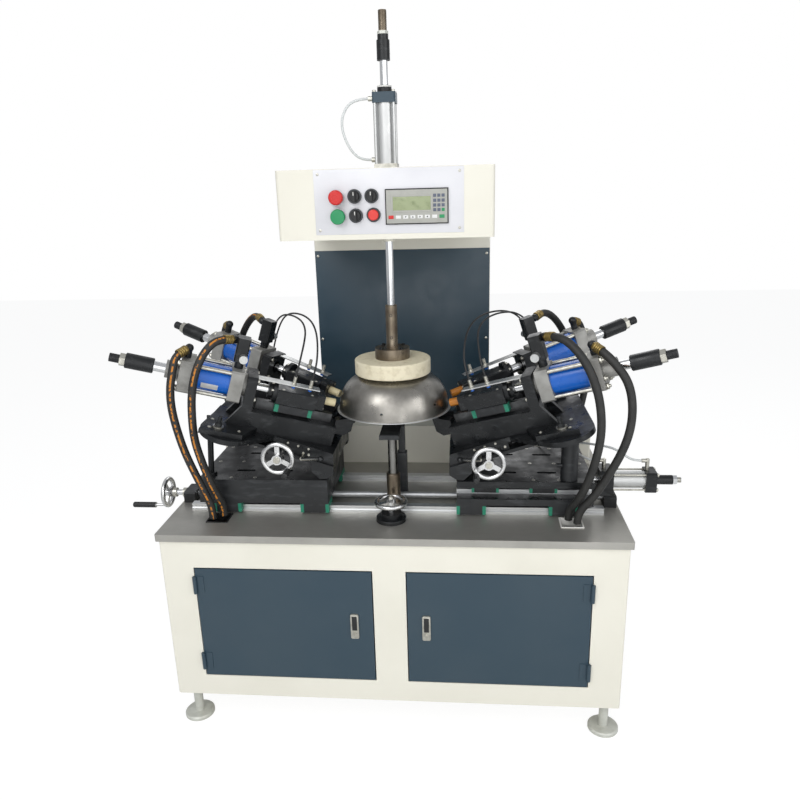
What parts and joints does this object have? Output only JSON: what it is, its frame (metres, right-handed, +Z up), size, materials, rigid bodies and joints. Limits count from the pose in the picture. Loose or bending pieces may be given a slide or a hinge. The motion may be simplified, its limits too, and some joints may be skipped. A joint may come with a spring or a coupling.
{
  "type": "hydraulic punching machine",
  "caption": "Cabinet machine that punches holes in the wall of a deep bowl with opposed hydraulic heads on tilting cross tables, under an upright press cylinder and a control box.",
  "frame": {"origin": "on the floor, under the middle of the cabinet", "axes": "+X to the operator's right, +Y to the back of the machine, +Z up along the press cylinder"},
  "size_m": [1.725, 0.9653, 2.079],
  "materials": {
    "cabinet_paint": "semi-gloss cream enamel on folded sheet",
    "table_steel": "brushed stainless sheet",
    "liner_plastic": "satin white moulded plastic",
    "foot_steel": "zinc plated steel",
    "door_paint": "semi-gloss slate blue enamel",
    "unit_paint": "grey-green hammered enamel",
    "red_button": "gloss red moulded plastic",
    "green_button": "gloss green moulded plastic",
    "lamp_lens": "translucent red lens",
    "black_plastic": "matt black moulded plastic",
    "barrel_aluminium": "clear anodised aluminium",
    "ground_steel": "ground and polished steel",
    "nylon_pad": "machined natural nylon",
    "bowl_steel": "spun stainless sheet",
    "black_oxide": "black oxide over machined steel",
    "wheel_aluminium": "polished cast aluminium",
    "cylinder_paint": "gloss blue enamel on steel",
    "hose_rubber": "wrapped black hydraulic hose",
    "cable_jacket": "black flexible jacket",
    "tube_polyurethane": "clear polyurethane air tube"
  },
  "bodies": {
    "frame": {"cabinet": "cabinet_paint", "tabletop": "table_steel", "hose_liners": "liner_plastic", "levelling_feet": "foot_steel", "power_unit": "unit_paint", "rear_box": "cabinet_paint", "column": "cabinet_paint", "control_box": "cabinet_paint", "press_cylinder": "barrel_aluminium", "workpiece_bowl": "bowl_steel", "guide_rails": "ground_steel", "table_brackets": "black_oxide", "press_air_tube": "tube_polyurethane"},
    "door_left": {"door_left": "door_paint"},
    "door_right": {"door_right": "door_paint"},
    "stop_button": {"stop_button": "red_button"},
    "start_button": {"start_button": "green_button"},
    "lamp_button": {"lamp_button": "lamp_lens"},
    "selector_1": {"selector_1": "black_plastic"},
    "selector_2": {"selector_2": "black_plastic"},
    "selector_3": {"selector_3": "black_plastic"},
    "press_slide": {"press_rod": "ground_steel", "press_pad": "nylon_pad"},
    "lift": {"support_post": "ground_steel"},
    "post_wheel": {"post_wheel": "wheel_aluminium"},
    "lead_screw": {"lead_screw": "ground_steel", "screw_wheel": "wheel_aluminium"},
    "carriage_left": {"carriage_left": "black_oxide"},
    "carriage_right": {"carriage_right": "black_oxide", "infeed_cylinder": "barrel_aluminium", "infeed_tubes": "tube_polyurethane"},
    "infeed": {"infeed_table": "black_oxide"},
    "tilt_left": {"tilt_table_left": "black_oxide"},
    "tilt_right": {"tilt_table_right": "black_oxide"},
    "cross_left": {"sector_table_left": "black_oxide"},
    "cross_right": {"sector_table_right": "black_oxide"},
    "cross_wheel_left": {"cross_wheel_left": "wheel_aluminium"},
    "cross_wheel_right": {"cross_wheel_right": "wheel_aluminium"},
    "head_front_left": {"head_base_front_left": "black_oxide", "cylinder_front_left": "cylinder_paint", "hoses_front_left": "hose_rubber", "sensor_cables_left": "cable_jacket"},
    "punch_front_left": {"piston_rod_front_left": "ground_steel", "punch_slide_front_left": "black_oxide"},
    "head_front_right": {"head_base_front_right": "black_oxide", "cylinder_front_right": "cylinder_paint", "hoses_front_right": "hose_rubber", "sensor_cables_right": "cable_jacket"},
    "punch_front_right": {"piston_rod_front_right": "ground_steel", "punch_slide_front_right": "black_oxide"},
    "head_rear_left": {"head_base_rear_left": "black_oxide", "cylinder_rear_left": "cylinder_paint", "hoses_rear_left": "hose_rubber"},
    "punch_rear_left": {"piston_rod_rear_left": "ground_steel", "punch_slide_rear_left": "black_oxide"},
    "head_rear_right": {"head_base_rear_right": "black_oxide", "cylinder_rear_right": "cylinder_paint", "hoses_rear_right": "hose_rubber"},
    "punch_rear_right": {"piston_rod_rear_right": "ground_steel", "punch_slide_rear_right": "black_oxide"}
  },
  "joints": [
    {"name": "door_left_hinge", "type": "hinge", "parent": "frame", "child": "door_left", "pos_m": [-0.5775, -0.4793, 0.3828], "axis": [0, 0, -1], "range_deg": [0, 100]},
    {"name": "door_right_hinge", "type": "hinge", "parent": "frame", "child": "door_right", "pos_m": [0.5775, -0.4793, 0.3828], "axis": [0, 0, 1], "range_deg": [0, 100]},
    {"name": "stop_push", "type": "slide", "parent": "frame", "child": "stop_button", "axis": [0, 1, 0], "range_m": [0, 0.003], "stiffness_N_per_m": 400},
    {"name": "start_push", "type": "slide", "parent": "frame", "child": "start_button", "axis": [0, 1, 0], "range_m": [0, 0.003], "stiffness_N_per_m": 400},
    {"name": "lamp_push", "type": "slide", "parent": "frame", "child": "lamp_button", "axis": [0, 1, 0], "range_m": [0, 0.003], "stiffness_N_per_m": 400},
    {"name": "selector_1_turn", "type": "hinge", "parent": "frame", "child": "selector_1", "pos_m": [-0.081, -0.2802, 1.605], "axis": [0, 1, 0], "range_deg": [0, 90]},
    {"name": "selector_2_turn", "type": "hinge", "parent": "frame", "child": "selector_2", "pos_m": [-0.034, -0.2802, 1.605], "axis": [0, -1, 0], "range_deg": [0, 90]},
    {"name": "selector_3_turn", "type": "hinge", "parent": "frame", "child": "selector_3", "pos_m": [-0.079, -0.2802, 1.554], "axis": [0, 1, 0], "range_deg": [0, 90]},
    {"name": "press_stroke", "type": "slide", "parent": "frame", "child": "press_slide", "axis": [0, 0, 1], "range_m": [0, 0.18]},
    {"name": "lift_height", "type": "slide", "parent": "frame", "child": "lift", "axis": [0, 0, 1], "range_m": [-0.02, 0]},
    {"name": "post_wheel_turn", "type": "hinge", "parent": "frame", "child": "post_wheel", "pos_m": [0, -0.358, 0.733], "axis": [0, 0, 1], "range_deg": [-1801, 1]},
    {"name": "feed_left", "type": "slide", "parent": "frame", "child": "carriage_left", "axis": [-1, 0, 0], "range_m": [0, 0.01]},
    {"name": "feed_right", "type": "slide", "parent": "frame", "child": "carriage_right", "axis": [1, 0, 0], "range_m": [0, 0.01]},
    {"name": "lead_screw_turn", "type": "hinge", "parent": "frame", "child": "lead_screw", "pos_m": [0, -0.22, 0.696], "axis": [-1, 0, 0], "range_deg": [-1, 901]},
    {"name": "infeed_stroke", "type": "slide", "parent": "carriage_right", "child": "infeed", "axis": [1, 0, 0], "range_m": [0, 0.012]},
    {"name": "tilt_left", "type": "hinge", "parent": "carriage_left", "child": "tilt_left", "pos_m": [-0.205, -0.18, 0.81], "axis": [0, 1, 0], "range_deg": [0, 1.5]},
    {"name": "tilt_right", "type": "hinge", "parent": "infeed", "child": "tilt_right", "pos_m": [0.205, -0.18, 0.81], "axis": [0, -1, 0], "range_deg": [0, 1.5]},
    {"name": "cross_slide_left", "type": "slide", "parent": "tilt_left", "child": "cross_left", "axis": [0, 1, 0], "range_m": [-0.01, 0.01]},
    {"name": "cross_slide_right", "type": "slide", "parent": "tilt_right", "child": "cross_right", "axis": [0, 1, 0], "range_m": [-0.01, 0.01]},
    {"name": "cross_wheel_left_turn", "type": "hinge", "parent": "tilt_left", "child": "cross_wheel_left", "pos_m": [-0.3193, -0.4, 0.88529], "axis": [0, -1, 0], "range_deg": [-901, 901]},
    {"name": "cross_wheel_right_turn", "type": "hinge", "parent": "tilt_right", "child": "cross_wheel_right", "pos_m": [0.28507, -0.4, 0.87416], "axis": [0, -1, 0], "range_deg": [-901, 901]},
    {"name": "swing_front_left", "type": "hinge", "parent": "cross_left", "child": "head_front_left", "pos_m": [-0.23061, -0.23356, 0.89643], "axis": [0.309, 0, 0.9511], "range_deg": [0, 3]},
    {"name": "punch_stroke_front_left", "type": "slide", "parent": "head_front_left", "child": "punch_front_left", "axis": [0.9079, 0.2979, -0.295], "range_m": [0, 0.008]},
    {"name": "swing_front_right", "type": "hinge", "parent": "cross_right", "child": "head_front_right", "pos_m": [0.23061, -0.23356, 0.89643], "axis": [0.309, 0, -0.9511], "range_deg": [0, 3]},
    {"name": "punch_stroke_front_right", "type": "slide", "parent": "head_front_right", "child": "punch_front_right", "axis": [-0.9079, 0.2979, -0.295], "range_m": [0, 0.008]},
    {"name": "swing_rear_left", "type": "hinge", "parent": "cross_left", "child": "head_rear_left", "pos_m": [-0.23061, -0.12644, 0.89643], "axis": [-0.309, 0, -0.9511], "range_deg": [0, 3]},
    {"name": "punch_stroke_rear_left", "type": "slide", "parent": "head_rear_left", "child": "punch_rear_left", "axis": [0.9079, -0.2979, -0.295], "range_m": [0, 0.008]},
    {"name": "swing_rear_right", "type": "hinge", "parent": "cross_right", "child": "head_rear_right", "pos_m": [0.23061, -0.12644, 0.89643], "axis": [-0.309, 0, 0.9511], "range_deg": [0, 3]},
    {"name": "punch_stroke_rear_right", "type": "slide", "parent": "head_rear_right", "child": "punch_rear_right", "axis": [-0.9079, -0.2979, -0.295], "range_m": [0, 0.008]}
  ],
  "couplings": [
    {"joint": "post_wheel_turn", "follows": "lift_height", "rad_per_m": 1570.8},
    {"joint": "feed_right", "follows": "feed_left", "ratio": 1},
    {"joint": "lead_screw_turn", "follows": "feed_left", "rad_per_m": 1570.8},
    {"joint": "cross_wheel_left_turn", "follows": "cross_slide_left", "rad_per_m": 1570.8},
    {"joint": "cross_wheel_right_turn", "follows": "cross_slide_right", "rad_per_m": 1570.8}
  ]
}
